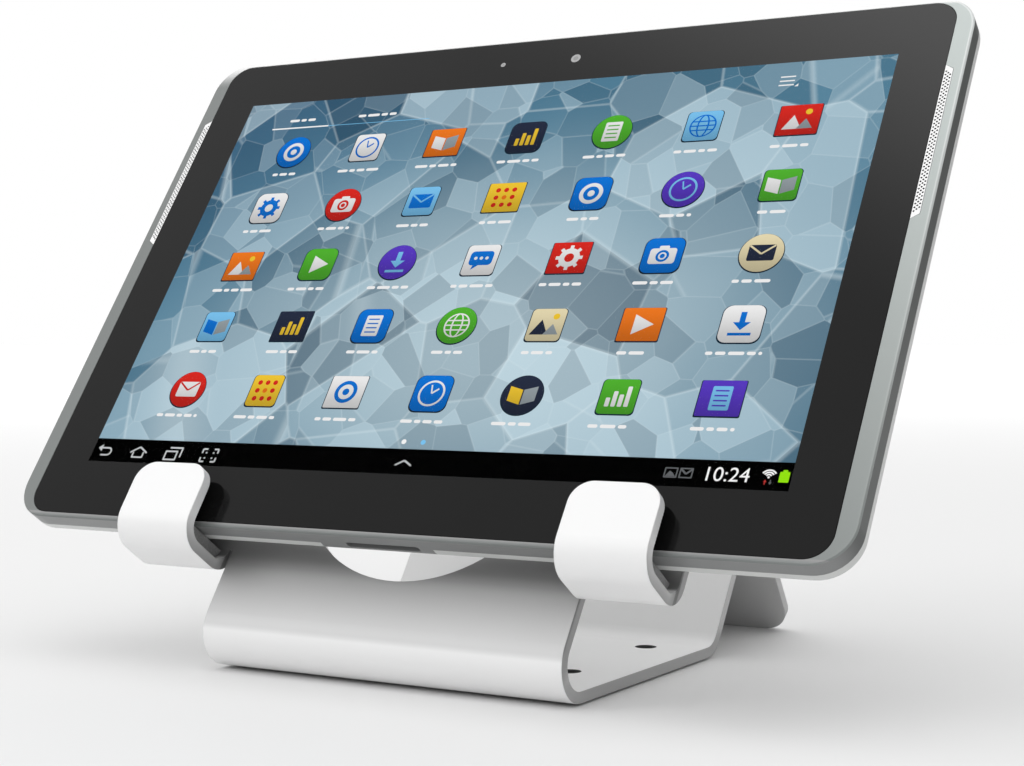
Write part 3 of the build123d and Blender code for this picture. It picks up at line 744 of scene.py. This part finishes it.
class KIOSK_OT_finish_shell(KioskOperator):
    """Side frame, back cover, keys and grilles of the tablet"""

    bl_idname = "kiosk.finish_shell"
    bl_label = "Finish the tablet's shell"

    def make(self, scene):
        shell = scene.kiosk_shell
        self.side_frame(shell)
        self.cover(shell)
        self.grilles()
        self.keys(shell)

    def side_frame(self, shell):
        finish = Finish("side_frame_lacquer", IOR=1.5, Metallic=0.15)
        x = finish.reach(RIGHT, MIDDLE.dot(RIGHT))
        y = finish.reach(UP, MIDDLE.dot(UP))
        depth = FACE - finish.reach(OUT)
        fleck = finish.noise(0.12, detail=1)
        broad = finish.noise(18, detail=2)
        # Painted light: the lower side of the band is lighter than its left and right sides
        lower_side_light = (-y).fade(77, 86)
        band = finish.mix(lower_side_light, linear(shell.band), linear(shell.band_painted_light))
        front = 1 - depth.fade(RIM_DEPTH - RIM_BLUR, RIM_DEPTH + RIM_BLUR)
        colour = finish.mix(front, band, self.rim(finish, shell, x, y))
        colour = finish.mix((fleck * 0.6 + broad * 0.4) * 0.12, colour, linear(0.2))
        finish.feed(
            Base_Color=colour,
            Roughness=0.32 + fleck * 0.1,
            Normal=finish.bump(fleck, 0.004, finish.soft_edges(0.15)),
        )
        dress(finish, "side_frame")

    def rim(self, finish, shell, x, y):
        """Front rim with painted light: lighter to the upper right, at the top and at the bottom, with a
        painted highlight line at its edge.
        """
        light = (x / 128 + y / 170).fade(0.1, 1.6)
        rim = finish.mix(light, linear(shell.rim), linear(shell.rim_painted_light))
        # Painted light: the top of the rim and its upper left part near white
        upper_left = y.fade(77, 87.5) * (1 - x.fade(-90, -60))
        rim = finish.mix(y.fade(84.6, 86.2).most(upper_left), rim, linear(0.97))
        # Painted highlight along the rim's lower edge
        painted_low_highlight = y.fade(-86.5, -85.6) * (1 - y.fade(-85.45, -85.3))
        rim = finish.mix(painted_low_highlight, rim, linear(0.58))
        from_line = abs(self.from_edge(x, y) - EDGE_HIGHLIGHT / 2)
        # Painted highlight line along the rim's outer edge, strongest to the upper right
        line = (1 - from_line.fade(EDGE_HIGHLIGHT * 0.35, EDGE_HIGHLIGHT * 0.7)) * light * light * 0.4
        return finish.mix(line, rim, linear(1.0))

    def from_edge(self, x, y):
        """Millimetres in from the side frame's outline, whose corners are round."""
        low, high = along("side_frame", RIGHT)
        bottom, top = along("side_frame", UP)
        past_x = abs(x) - ((high - low) / 2 - CORNER)
        past_y = abs(y) - ((top - bottom) / 2 - CORNER)
        round_part = (past_x.most(0.0) ** 2.0 + past_y.most(0.0) ** 2.0) ** 0.5
        return CORNER - round_part - past_x.most(past_y).least(0.0)

    def cover(self, shell):
        finish = Finish("cover_lacquer", IOR=1.5, Metallic=0.1)
        fleck = finish.noise(0.15, detail=1)
        broad = finish.noise(25, detail=2)
        dark = linear(scaled(shell.cover, 0.96))
        finish.feed(
            Base_Color=finish.mix(broad * 0.6 + fleck * 0.4, dark, linear(shell.cover)),
            Roughness=0.34 + fleck * 0.08,
            Normal=finish.bump(fleck, 0.004, finish.soft_edges(0.15)),
        )
        dress(finish, "back_cover")

    def grilles(self):
        finish = Finish("grille_plastic", IOR=1.5)
        fleck = finish.noise(0.2, detail=1)
        # Faces not turned to the front, the walls of the perforations among them, are dark as painted shade
        face = finish.facing(OUT).fade(0.5, 0.8)
        white = finish.mix(fleck, linear(0.94), linear(0.99))
        finish.feed(
            Base_Color=finish.mix(face, linear(0.12), white),
            Roughness=0.4 + fleck * 0.1,
            Normal=finish.bump(fleck, 0.004),
        )
        dress(finish, "speaker_grille_left", "speaker_grille_right")

    def keys(self, shell):
        finish = Finish("key_lacquer", IOR=1.5, Metallic=0.5)
        fleck = finish.noise(0.12, detail=1)
        finish.feed(
            Base_Color=finish.mix(fleck, linear(scaled(shell.rim, 0.9)), linear(shell.rim)),
            Roughness=0.3 + fleck * 0.1,
            Normal=finish.bump(fleck, 0.004, finish.soft_edges(0.2)),
        )
        dress(finish, "power_button", "volume_rocker")


class KIOSK_OT_finish_glass(KioskOperator):
    """Glass with its printed border"""

    bl_idname = "kiosk.finish_glass"
    bl_label = "Finish the glass"

    def make(self, scene):
        self.screen(scene.kiosk_shell)
        self.camera_window()

    def screen(self, shell):
        finish = Finish("screen_glass", IOR=1.5, Specular_IOR_Level=0.125)
        x, y = finish.screen_place()
        past = (abs(x) - LIT_WIDTH / 2).most(abs(y) - LIT_HEIGHT / 2)
        depth = FACE - finish.reach(OUT)
        printed = past.fade(-0.05, 0.1) * (1 - depth.fade(0.3, 0.5))
        smear = finish.noise(60, detail=3)
        # Painted reflection: the border is lighter to the upper right
        light = (x / 256 + y / 170).fade(0.34, 1.08)
        border = finish.mix(light, linear(shell.border), linear(shell.border_painted_reflection))
        finish.feed(
            Base_Color=finish.mix(smear * 0.04, border, linear(0.3)),
            Alpha=0.03 + printed * 0.97,
            Roughness=0.07 + smear * 0.04,
        )
        dress(finish, "cover_glass")

    def camera_window(self):
        finish = Finish("camera_window_glass", IOR=1.5, Roughness=0.05)
        cloud = finish.noise(3, detail=1)
        finish.feed(Base_Color=finish.mix(cloud, linear(0.05), linear(0.09)), Alpha=0.5 + cloud * 0.05)
        dress(finish, "rear_camera_window")


class KIOSK_OT_finish_inside(KioskOperator):
    """Boards, cells and metal parts inside the tablet"""

    bl_idname = "kiosk.finish_inside"
    bl_label = "Finish the inside"

    def make(self, scene):
        self.metal("bare_aluminium", 0.74, 0.35, "mid_frame", "antennas")
        self.metal("cell_foil", 0.62, 0.28, "battery_left", "battery_right")
        self.metal("tinned_steel", 0.70, 0.25, "shield_cans", "dock_connector")
        self.metal("bright_ring", 0.80, 0.12, "rear_camera_ring")
        self.plastic("board_mask", (0.06, 0.24, 0.16), 0.4, "main_board", "dock_board", "key_board")
        self.plastic("flex_film", (0.42, 0.27, 0.10), 0.35, "dock_flex")
        self.plastic(
            "black_housing", (0.07, 0.07, 0.075), 0.5,
            "speaker_left", "speaker_right", "front_camera", "light_sensor", "rear_camera", "headset_jack",
        )

    def metal(self, name, grey, roughness, *nodes):
        finish = Finish(name, Metallic=1.0)
        brushed = finish.noise(0.4, detail=3)
        finish.feed(
            Base_Color=finish.mix(brushed, linear(grey * 0.92), linear(grey)),
            Roughness=roughness + brushed * 0.1,
            Normal=finish.bump(brushed, 0.004),
        )
        dress(finish, *nodes)

    def plastic(self, name, colour, roughness, *nodes):
        finish = Finish(name)
        grain = finish.noise(0.6, detail=3)
        finish.feed(
            Base_Color=finish.mix(grain, linear(scaled(colour, 0.85)), linear(colour)),
            Roughness=roughness + grain * 0.1,
            Normal=finish.bump(grain, 0.01),
        )
        dress(finish, *nodes)


class KIOSK_OT_make_picture(KioskOperator):
    """The lit picture: background, tiles, bar symbols and clock"""

    bl_idname = "kiosk.make_picture"
    bl_label = "Make the screen picture"

    def make(self, scene):
        self.settings = scene.kiosk_screen
        self.background()
        self.tiles()
        self.bar()

    def lit(self, name, colour, fall=0.26):
        """A colour of the screen, darker towards the foot of each tile."""
        finish = Finish(name, Roughness=1.0, Specular_IOR_Level=0.0, Base_Color=linear(0.0))
        y = finish.screen_place()[1]
        first = on_screen(0, TOP_DOTS - CELL_DOTS[1] / 2)[1]
        down = ((first - y) / (CELL_DOTS[1] * DOT)).fraction()
        grain = finish.noise(1.6, detail=1)
        share = 1 - down.fade(0.15, 0.85) * 0.9 - grain * 0.1
        colours = linear(scaled(colour, 1 - fall)), linear(colour)
        finish.feed(Emission_Color=finish.mix(share, *colours), Emission_Strength=self.settings.brightness)
        return finish

    def background(self):
        finish = Finish("screen_background", Roughness=1.0, Specular_IOR_Level=0.0, Base_Color=linear(0.0))
        x, y = finish.screen_place()
        from_middle = (((x - 12) / 126) ** 2.0 + ((y + 24) / 84) ** 2.0) ** 0.5
        cloud = finish.noise(45, detail=2)
        share = (from_middle + cloud * 0.16 - 0.1).fade(0.0, 1.1)
        ground = finish.mix(share, linear(self.settings.middle), linear(self.settings.edge))
        corner = (y / 68 - x / 109).fade(0.5, 2.1)
        ground = finish.mix(corner, ground, linear(self.settings.corner))
        ground = self.facets(finish, x, y, ground)
        foot = LIT_HEIGHT * (0.5 - BAR_DOTS / SCREEN_DOTS[1])
        in_bar = (-foot - y).fade(-0.05, 0.05)
        finish.feed(
            Emission_Color=finish.mix(in_bar, ground, linear(0.0)),
            Emission_Strength=self.settings.brightness,
        )
        (left, right), (low, high) = along("display_panel", RIGHT), along("display_panel", UP)
        bottom = along("display_panel", OUT)[0] - FACE
        panel = Plates("display_picture", {"picture": finish})
        panel.slab(round_box(0, 0, right - left, high - low, 1.0), -PICTURE_DROP, bottom, "picture")
        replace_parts(panel.finish(), "display_panel")

    def facets(self, finish, x, y, ground):
        """Flat many-sided facets all over, large and small, each in its own tint, with fine light seams."""
        place = finish.flat_place(x, y)
        for size, strength in FACETS:
            sockets = {"Vector": place, "Scale": 1 / (size * MM), "Randomness": 0.9}
            cells = finish.node("ShaderNodeTexVoronoi", None, sockets)
            seams = finish.node("ShaderNodeTexVoronoi", {"feature": "DISTANCE_TO_EDGE"}, sockets)
            chance = finish.node("ShaderNodeSeparateColor", None, {"Color": cells.outputs["Color"]})
            tint = Term(finish, chance.outputs[0])
            from_seam = Term(finish, seams.outputs["Distance"])
            ground = finish.mix(tint.fade(0.5, 1.0) * strength, ground, linear((0.80, 0.89, 0.93)))
            ground = finish.mix((1 - tint).fade(0.5, 1.0) * strength, ground, linear((0.13, 0.25, 0.34)))
            seam = (1 - from_seam.fade(0.0, 0.02)) * strength * 0.6
            ground = finish.mix(seam, ground, linear((0.88, 0.94, 0.96)))
        return ground

    def tiles(self):
        finishes = {name: self.lit("screen_" + name, shade) for name, shade in PALETTE.items()}
        finishes["names"] = self.lit("screen_names", PALETTE["white"], fall=0.03)
        plates = Plates("screen_tiles", finishes)
        left = (SCREEN_DOTS[0] - (COLUMNS - 1) * CELL_DOTS[0]) / 2
        for number, name in enumerate(GROUNDS):
            row, column = divmod(number, COLUMNS)
            x, y = on_screen(left + column * CELL_DOTS[0], TOP_DOTS + row * CELL_DOTS[1])
            self.ground(plates, (column * 3 + row * 5) % 4, x, y, name)
            MARKS[(number * 5 + row) % len(MARKS)](Pen(plates, x, y, INKS[name], name))
            self.label(plates, x, y - (TILE_DOTS / 2 + LABEL_DROP) * DOT, (52 + (number * 37) % 40) * DOT)
        self.tabs(plates)
        plates.finish()

    def ground(self, plates, kind, x, y, name):
        """A tile's ground on its dark edge: round, soft-cornered, wide or nearly square."""
        for level, grow, drop, colour in ((0, 3 * DOT, 1.2 * DOT, "shade"), (1, 0.0, 0.0, name)):
            if kind == 0:
                outline = many_sided(x, y - drop, (TILE + grow) / 2, 40)
            else:
                width, height, corner = ((0.94, 0.94, 0.2), (0.98, 0.86, 0.04), (0.86, 0.86, 0.1))[kind - 1]
                outline = round_box(x, y - drop, TILE * width + grow, TILE * height + grow, TILE * corner)
            plates.shape(outline, level, colour)

    def label(self, plates, x, y, width):
        """A row of plain dashes in the place of a name."""
        start, end = x - width / 2, x + width / 2
        height = LABEL_DOTS * DOT
        i = int(width * 3)
        while start < end - height:
            length = min(DASHES[i % len(DASHES)] * DOT, end - start)
            plates.shape(round_box(start + length / 2, y, length, height, height * 0.45, 2), 1, "names")
            start += length + 4 * DOT
            i += 1

    def tabs(self, plates):
        """Underline of the chosen tab, the page dots and the three menu strokes."""
        start, end = on_screen(66, 58), on_screen(196, 58)
        plates.shape(line_box(start, end, 3 * DOT), 1, "names")
        plates.shape(line_box(end, on_screen(420, 58), 1 * DOT), 1, "sky")
        self.label(plates, *on_screen(131, 40), 60 * DOT)
        self.label(plates, *on_screen(300, 40), 84 * DOT)
        for column, name in ((622, "names"), (658, "sky")):
            plates.shape(many_sided(*on_screen(column, 737), 4.5 * DOT, 16), 1, name)
        for i in range(3):
            y = 24 + i * 9
            plates.shape(line_box(on_screen(1086, y), on_screen(1112, y), 2.6 * DOT), 1, "names")
        x, y = on_screen(1120, 46)
        plates.shape([(x, y), (x, y + 6 * DOT), (x - 6 * DOT, y)], 1, "names")

    def bar(self):
        """Symbols, clock and charge mark on the black bar."""
        finishes = {
            "ink": self.lit("bar_symbols", (0.80, 0.81, 0.82), fall=0.04),
            "grey": self.lit("bar_notices", (0.40, 0.41, 0.42), fall=0.04),
            "green": self.lit("charge_green", (0.60, 0.92, 0.08), fall=0.06),
            "white": self.lit("clock_white", (0.97, 0.97, 0.97), fall=0.02),
            "red": self.lit("signal_red", (0.75, 0.22, 0.20), fall=0.04),
        }
        self.plates = Plates("bar_symbols", finishes)
        row = SCREEN_DOTS[1] - SYMBOL_DOTS
        self.left_symbols(row)
        self.notices(row)
        self.signal(row)
        self.charge(row)
        self.plates.finish()
        self.clock(finishes["white"], row)

    def stroke(self, a, b, colour="ink", width=3.0):
        self.plates.shape(line_box(on_screen(*a), on_screen(*b), width * DOT), 1, colour)

    def frame(self, column, row, outer, inner, corners, colour):
        """A rectangle's outline about a dot, with outer and inner sizes in dots."""
        x, y = on_screen(column, row)
        outlines = [
            round_box(x, y, width * DOT, height * DOT, corner, 2)
            for (width, height), corner in zip((outer, inner), corners)
        ]
        self.plates.ring(*outlines, 1, colour)

    def left_symbols(self, row):
        """Return arrow, house, two windows, corner brackets and the raised chevron."""
        self.stroke((8, row - 7), (26, row - 7))
        self.plates.shape(bow(*on_screen(26, row), 7 * DOT, 3 * DOT, -90, 90), 1, "ink")
        self.stroke((12, row + 7), (26, row + 7))
        x, y = on_screen(2, row - 7)
        self.plates.shape([(x, y), (x + 9 * DOT, y - 7 * DOT), (x + 9 * DOT, y + 7 * DOT)], 1, "ink")
        for a, b in (
            ((77, 0), (95, -11)), ((95, -11), (113, 0)),
            ((84, -1), (84, 10)), ((106, -1), (106, 10)), ((83, 9), (107, 9)),
        ):
            self.stroke((a[0], row + a[1]), (b[0], row + b[1]))
        self.frame(167, row + 3, (27, 19), (21, 13), (0.2, 0.1), "ink")
        self.stroke((161, row - 12), (189, row - 12))
        self.stroke((188, row - 12), (188, row + 6))
        for side in (-1, 1):
            for level in (-1, 1):
                cx, cy = 249 + side * 16, row + level * 12
                self.stroke((cx, cy), (cx - side * 9, cy))
                self.stroke((cx, cy), (cx, cy - level * 8))
                self.stroke((cx - side * 10, cy - level * 7), (cx - side * 7, cy - level * 7))
        for side in (-1, 1):
            self.stroke((636, row - 5), (636 + side * 15, row + 4))

    def notices(self, row):
        """A picture's and a letter's outline, in grey."""
        for middle in (1093, 1117):
            self.frame(middle, row - 2.5, (21, 17), (17, 13), (0.15, 0.1), "grey")
        for side in (-1, 1):
            self.stroke((1117, row - 1), (1117 + side * 9, row - 9), "grey")
        x, y = on_screen(1093, row + 3.5)
        hill = [(x - 8 * DOT, y), (x + 8 * DOT, y), (x + 3 * DOT, y + 6 * DOT), (x - 2 * DOT, y + 9 * DOT)]
        self.plates.shape(hill, 1, "grey")

    def signal(self, row):
        """Three bows over a dot, with a small arrow down and one up."""
        x, y = on_screen(1243, row - 1)
        self.plates.shape(many_sided(x, y, 1.8 * DOT, 14), 1, "white")
        for radius in (4.4, 8, 11.6):
            self.plates.shape(bow(x, y, radius * DOT, 2.4 * DOT, 32, 148), 1, "white")
        for column, tip, colour in ((1239, -1, "red"), (1247, 1, "grey")):
            x, y = on_screen(column, row + 7)
            self.plates.shape([(x - 2.6 * DOT, y), (x, y - tip * 4 * DOT), (x + 2.6 * DOT, y)], 1, colour)
            self.stroke((column, row + 7), (column, row + 7 - tip * 4), colour, 1.4)

    def charge(self, row):
        """A full battery."""
        x, y = on_screen(1266, row - 2)
        self.plates.shape(round_box(x, y, 15 * DOT, 17 * DOT, 0.2, 2), 1, "green")
        self.plates.shape(round_box(x, y + 10 * DOT, 7 * DOT, 3 * DOT, 0.1, 2), 1, "green")

    def clock(self, ink, row):
        data = bpy.data.curves.new("clock_digits", "FONT")
        data.body = self.settings.clock
        data.size = CLOCK_DOTS * DOT * MM
        data.align_x = "CENTER"
        data.align_y = "CENTER"
        data.extrude = PLATE / 2 * MM
        data.materials.append(ink.material)
        x, y = on_screen(CLOCK_COLUMN, row - 1.5)
        turn = Matrix((RIGHT, UP, OUT)).transposed().to_4x4()
        place = Matrix.Translation(in_tablet(x, y, PLATE * 1.5 - PICTURE_DROP)) @ turn
        ride_tablet("clock_digits", data, place)


class KIOSK_OT_make_lenses(KioskOperator):
    """Lens and sensor window behind the glass"""

    bl_idname = "kiosk.make_lenses"
    bl_label = "Make the lenses"

    def make(self, scene):
        finishes = {
            "pale": self.window("lens_pale", 0.4, 0.3, (0.60, 0.68)),
            "dull": self.window("lens_dull", 0.3, 0.2, (0.50, 0.58)),
        }
        for node, rim, lens in (("front_camera", 1.55, 0.8), ("light_sensor", 0.8, 0.4)):
            x = sum(along(node, RIGHT)) / 2 - MIDDLE.dot(RIGHT)
            y = sum(along(node, UP)) / 2 - MIDDLE.dot(UP)
            marks = Plates(node + "_window", finishes, WINDOW_RISE - PLATE)
            marks.ring(many_sided(x, y, rim), many_sided(x, y, lens), 0, "pale")
            marks.shape(many_sided(x, y, lens), 0, "dull")
            marks.finish("screen_glass")

    def window(self, name, roughness, size, greys):
        finish = Finish(name, Roughness=roughness)
        finish.feed(Base_Color=finish.mix(finish.noise(size), *map(linear, greys)))
        return finish


class KIOSK_OT_set_stage(KioskOperator):
    """Camera, soft lights and a pale floor"""

    bl_idname = "kiosk.set_stage"
    bl_label = "Set the stage"

    def make(self, scene):
        stage = scene.kiosk_stage
        self.camera(scene, stage)
        self.sky(scene, stage)
        self.key_light(scene, stage)
        self.floor(scene)
        scene.view_settings.view_transform = "Standard"
        scene.view_settings.look = "None"

    def camera(self, scene, stage):
        data = bpy.data.cameras.new("camera")
        data.lens = stage.lens
        data.sensor_width = 36.0
        data.clip_start = 0.01
        camera = bpy.data.objects.new("camera", data)
        scene.collection.objects.link(camera)
        a, e = math.radians(stage.azimuth), math.radians(stage.fall)
        gaze = Vector((-math.sin(a) * math.cos(e), math.cos(a) * math.cos(e), -math.sin(e)))
        camera.location = stage.camera_place
        camera.rotation_mode = "QUATERNION"
        camera.rotation_quaternion = gaze.to_track_quat("-Z", "Y")
        scene.camera = camera

    def sky(self, scene, stage):
        """White surround, brightest overhead and a little brighter to the left."""
        world = bpy.data.worlds.new("white_surround")
        world.use_nodes = True
        graph = Graph(world.node_tree)
        direction = graph.coordinates.outputs["Generated"]
        height = graph.share_along(direction, ROW_Z)
        leftward = graph.share_along(direction, -ROW_X)
        forward = graph.share_along(direction, -ROW_Y)
        overhead = height.most(0.0) ** 2.0
        light = stage.sky * (0.39 + overhead * 1.37 + leftward * 0.3 + forward.most(0.0) * 0.1)
        seen = graph.node("ShaderNodeLightPath").outputs["Is Camera Ray"]
        strength = graph.mix_number(seen, light, 1.0)
        sockets = {"Color": (1.0, 1.0, 1.0), "Strength": strength}
        background = graph.node("ShaderNodeBackground", None, sockets)
        graph.node("ShaderNodeOutputWorld", None, {"Surface": background.outputs[0]})
        scene.world = world

    def key_light(self, scene, stage):
        data = bpy.data.lights.new("key_light", "AREA")
        data.shape = "DISK"
        data.size = KEY_SIZE
        data.energy = stage.key_light
        light = bpy.data.objects.new("key_light", data)
        scene.collection.objects.link(light)
        light.location = KEY_PLACE
        light.rotation_mode = "QUATERNION"
        light.rotation_quaternion = (KEY_AIM - KEY_PLACE).to_track_quat("-Z", "Y")

    def floor(self, scene):
        finish = Finish("pale_floor", Roughness=0.6, Specular_IOR_Level=0.2)
        x = finish.reach(ROW_X)
        y = finish.reach(ROW_Y)
        # Painted light: the floor is darker near the stand and paler with distance, to white far off
        far = ((x * x + y * y) ** 0.5).fade(250, 2600)
        grain = finish.noise(4)
        pale = finish.mix(far, linear(0.90), linear(1.0))
        finish.feed(Base_Color=finish.mix(grain * 0.02, pale, linear(0.86)))
        data = bpy.data.meshes.new("floor")
        mesh = bmesh.new()
        bmesh.ops.create_circle(mesh, cap_ends=True, cap_tris=False, segments=96, radius=FLOOR_RADIUS)
        mesh.to_mesh(data)
        mesh.free()
        data.materials.append(finish.material)
        floor = bpy.data.objects.new("floor", data)
        scene.collection.objects.link(floor)


class KIOSK_PT_panel(bpy.types.Panel):
    """Steps and sizes of the kiosk"""

    bl_label = "Tablet kiosk"
    bl_space_type = "VIEW_3D"
    bl_region_type = "UI"
    bl_category = "Kiosk"

    def draw(self, context):
        for group in GROUPS:
            settings = getattr(context.scene, group)
            column = self.layout.column(align=True)
            for name in settings.bl_rna.properties.keys():
                if name not in ("rna_type", "name"):
                    column.prop(settings, name)
        for step in STEPS:
            self.layout.operator(step.bl_idname)


STEPS = (
    KIOSK_OT_coat_stand,
    KIOSK_OT_finish_pads,
    KIOSK_OT_finish_shell,
    KIOSK_OT_finish_glass,
    KIOSK_OT_finish_inside,
    KIOSK_OT_make_picture,
    KIOSK_OT_make_lenses,
    KIOSK_OT_set_stage,
)


def register():
    for group, kind in GROUPS.items():
        bpy.utils.register_class(kind)
        setattr(bpy.types.Scene, group, PointerProperty(type=kind))
    for kind in (*STEPS, KIOSK_PT_panel):
        bpy.utils.register_class(kind)


def unregister():
    for kind in (KIOSK_PT_panel, *reversed(STEPS)):
        bpy.utils.unregister_class(kind)
    for group, kind in GROUPS.items():
        delattr(bpy.types.Scene, group)
        bpy.utils.unregister_class(kind)


def main():
    register()
    for step in STEPS:
        group, name = step.bl_idname.split(".")
        getattr(getattr(bpy.ops, group), name)()


if __name__ == "__main__":
    main()
